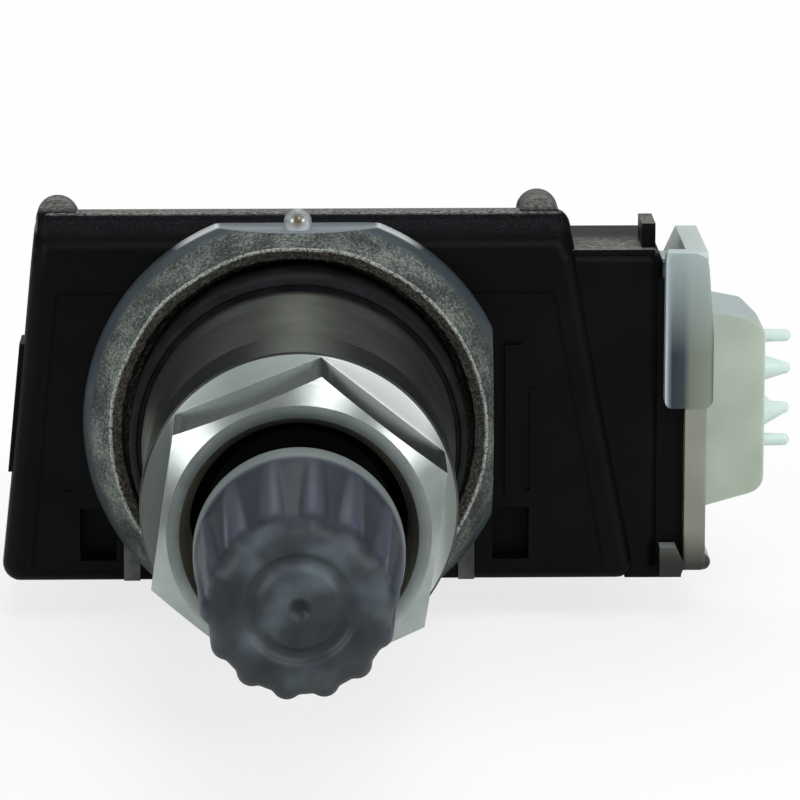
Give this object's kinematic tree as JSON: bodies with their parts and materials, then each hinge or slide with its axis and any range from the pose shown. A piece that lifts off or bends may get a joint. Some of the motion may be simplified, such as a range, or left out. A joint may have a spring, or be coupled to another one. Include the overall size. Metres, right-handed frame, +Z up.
{
  "type": "tyre pressure sensor",
  "caption": "Tyre pressure sensor: black moulded housing with a milky end cover and a clamp-in metal valve with collar, hex nut and fluted cap.",
  "frame": {"origin": "on the valve's axis, in the plane of the crest of the valve's base, which the inner face of the rim meets", "axes": "the valve's axis runs along Y with its cap towards -Y; +Z is up, away from the housing's flat underside; the end cover is at +X"},
  "size_m": [0.0441, 0.068, 0.0238],
  "materials": {
    "housing_plastic": "moulded satin, worn along the top edges",
    "cover_plastic": "milky translucent moulding",
    "cast_metal": "cast, with a turned rim and crest",
    "bright_pin": "polished",
    "plate_steel": "rolled",
    "grommet_rubber": "moulded",
    "seal_rubber": "moulded",
    "stem_metal": "black anodised",
    "collar_metal": "turned",
    "nut_metal": "turned and brushed",
    "core_brass": "turned",
    "spring_steel": "drawn",
    "cap_plastic": "moulded satin",
    "board_laminate": "solder resist",
    "cell_steel": "nickel plated",
    "chip_resin": "moulded resin",
    "filter_membrane": "white membrane"
  },
  "bodies": {
    "sensor": {"housing": "housing_plastic", "end_cover": "cover_plastic", "cover_seal": "seal_rubber", "valve_base": "cast_metal", "anti_turn_pin": "bright_pin", "base_plate": "plate_steel", "grommet": "grommet_rubber", "valve_stem": "stem_metal", "stem_ring": "seal_rubber", "core_body": "core_brass", "core_gasket": "seal_rubber", "core_spring": "spring_steel", "circuit_board": "board_laminate", "lithium_cell": "cell_steel", "cell_tab_top": "cell_steel", "cell_tab_bottom": "cell_steel", "pressure_chip": "chip_resin", "crystal": "cell_steel", "wake_coil": "chip_resin", "radio_aerial": "core_brass", "capacitors": "chip_resin", "air_filter": "filter_membrane"},
    "collar": {"collar": "collar_metal"},
    "nut": {"hex_nut": "nut_metal"},
    "cap_washer": {"cap_seal": "seal_rubber"},
    "cap": {"valve_cap": "cap_plastic"},
    "core_plunger": {"core_pin": "core_brass", "core_seal": "seal_rubber"}
  },
  "joints": [
    {"name": "collar_slide", "type": "slide", "parent": "sensor", "child": "collar", "axis": [0, -1, 0], "range_m": [0, 0.005]},
    {"name": "nut_turn", "type": "hinge", "parent": "collar", "child": "nut", "pos_m": [0, -0.018, 0], "axis": [0, -1, 0], "range_deg": [0, 1800]},
    {"name": "washer_slide", "type": "slide", "parent": "sensor", "child": "cap_washer", "axis": [0, -1, 0], "range_m": [0, 0.00873]},
    {"name": "cap_turn", "type": "hinge", "parent": "cap_washer", "child": "cap", "pos_m": [0, -0.032, 0], "axis": [0, -1, 0], "range_deg": [0, 3960]},
    {"name": "core_press", "type": "slide", "parent": "sensor", "child": "core_plunger", "axis": [0, 1, 0], "range_m": [0, 0.0012], "stiffness_N_per_m": 800, "springref_m": -0.002, "deforming": ["core_spring"]}
  ],
  "couplings": [
    {"joint": "nut_turn", "follows": "collar_slide", "rad_per_m": 6283.2},
    {"joint": "cap_turn", "follows": "washer_slide", "rad_per_m": 7913.3}
  ]
}
